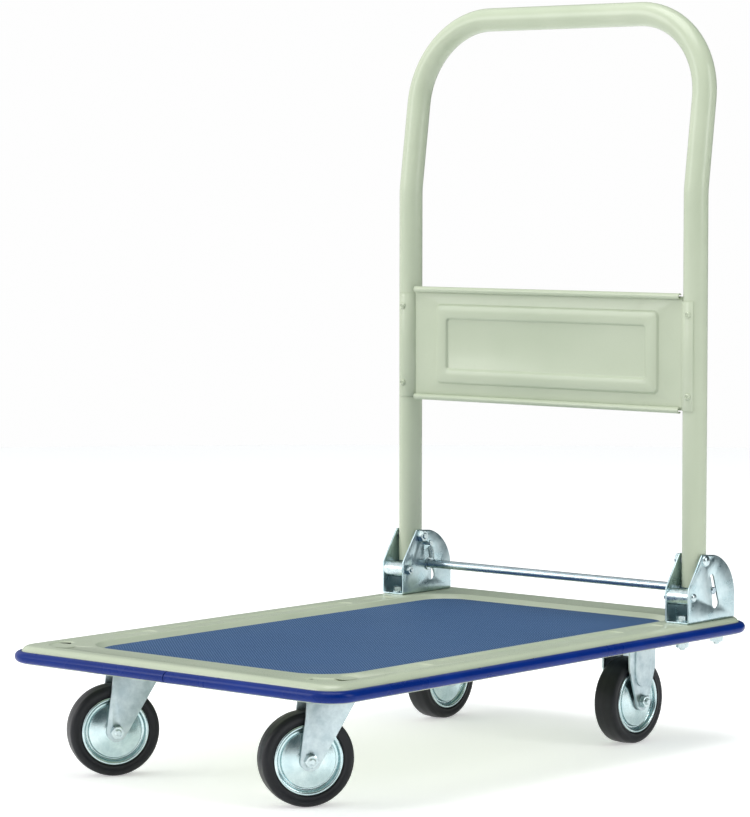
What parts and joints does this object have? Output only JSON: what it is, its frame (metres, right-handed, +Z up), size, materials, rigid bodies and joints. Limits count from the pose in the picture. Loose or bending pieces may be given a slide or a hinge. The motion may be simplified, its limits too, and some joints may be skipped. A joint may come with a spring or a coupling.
{
  "type": "folding platform cart",
  "caption": "Platform cart with a mat-covered pressed-steel deck, rubber-tyred casters and a tubular push handle that folds flat over the deck.",
  "frame": {"origin": "on the floor under the middle of the deck", "axes": "+X to the right across the cart, +Y from the front end towards the handle, +Z up"},
  "size_m": [0.48, 0.74, 0.854],
  "materials": {
    "deck_paint": "glossy pale green-grey powder coat over pressed steel",
    "handle_paint": "glossy pale green-grey powder coat",
    "bumper": "smooth royal blue extruded PVC",
    "mat": "grey-blue vinyl with a fine embossed weave",
    "zinc": "bright bluish zinc plating",
    "plain_steel": "plain turned steel",
    "tyre": "smooth black rubber"
  },
  "bodies": {
    "platform": {"deck_pan": "deck_paint", "front_crossmember": "deck_paint", "rear_crossmember": "deck_paint", "centre_stiffener": "deck_paint", "bracket_backings": "deck_paint", "bumper_strip": "bumper", "deck_mat": "mat", "hinge_bracket_left": "zinc", "hinge_bracket_right": "zinc", "bracket_bolts": "zinc", "bracket_washers": "zinc", "bracket_nuts": "zinc", "bracket_spacers": "plain_steel", "pivot_bolts": "zinc", "pivot_nuts": "zinc", "stop_bolts": "zinc", "stop_nuts": "zinc", "stop_sleeves": "zinc", "spring_studs": "zinc", "caster_bolts": "zinc", "caster_weld_nuts": "plain_steel", "rigid_fork_left": "zinc", "rigid_fork_right": "zinc", "rigid_axle_sleeves": "plain_steel", "rigid_axle_bolts": "zinc", "rigid_axle_nuts": "zinc", "swivel_plates": "zinc", "upper_races": "zinc", "king_pins": "zinc", "lock_spring_left": "zinc", "lock_spring_right": "zinc"},
    "handle": {"handle_tube": "handle_paint", "handle_panel": "handle_paint", "panel_rivets": "handle_paint", "pivot_bushes": "plain_steel"},
    "lock_bar": {"lock_bar": "zinc", "bar_washers": "zinc"},
    "swivel_left": {"swivel_fork_left": "zinc", "lower_race_left": "zinc", "bearing_balls_left": "plain_steel", "swivel_axle_left": "zinc"},
    "swivel_right": {"swivel_fork_right": "zinc", "lower_race_right": "zinc", "bearing_balls_right": "plain_steel", "swivel_axle_right": "zinc"},
    "wheel_front_left": {"tyre_front_left": "tyre", "rim_front_left": "zinc", "hub_front_left": "plain_steel"},
    "wheel_front_right": {"tyre_front_right": "tyre", "rim_front_right": "zinc", "hub_front_right": "plain_steel"},
    "wheel_rear_left": {"tyre_rear_left": "tyre", "rim_rear_left": "zinc", "hub_rear_left": "plain_steel"},
    "wheel_rear_right": {"tyre_rear_right": "tyre", "rim_rear_right": "zinc", "hub_rear_right": "plain_steel"}
  },
  "joints": [
    {"name": "handle_fold", "type": "hinge", "parent": "platform", "child": "handle", "pos_m": [0, 0.284, 0.214], "axis": [1, 0, 0], "range_deg": [0, 90]},
    {"name": "lock_press", "type": "slide", "parent": "platform", "child": "lock_bar", "axis": [0, 0.2504, -0.9681], "range_m": [0, 0.013], "stiffness_N_per_m": 1000, "springref_m": -0.012, "deforming": ["lock_spring_left", "lock_spring_right"]},
    {"name": "swivel_left_turn", "type": "hinge", "parent": "platform", "child": "swivel_left", "pos_m": [-0.1405, -0.25, 0.11725], "axis": [0, 0, 1], "continuous": true},
    {"name": "swivel_right_turn", "type": "hinge", "parent": "platform", "child": "swivel_right", "pos_m": [0.1405, -0.25, 0.11725], "axis": [0, 0, 1], "continuous": true},
    {"name": "wheel_front_left_spin", "type": "hinge", "parent": "swivel_left", "child": "wheel_front_left", "pos_m": [-0.16011, -0.28019, 0.05], "axis": [0.8387, -0.5446, 0], "continuous": true},
    {"name": "wheel_front_right_spin", "type": "hinge", "parent": "swivel_right", "child": "wheel_front_right", "pos_m": [0.12089, -0.28019, 0.05], "axis": [0.8387, -0.5446, 0], "continuous": true},
    {"name": "wheel_rear_left_spin", "type": "hinge", "parent": "platform", "child": "wheel_rear_left", "pos_m": [-0.1405, 0.256, 0.05], "axis": [1, 0, 0], "continuous": true},
    {"name": "wheel_rear_right_spin", "type": "hinge", "parent": "platform", "child": "wheel_rear_right", "pos_m": [0.1405, 0.256, 0.05], "axis": [1, 0, 0], "continuous": true}
  ]
}
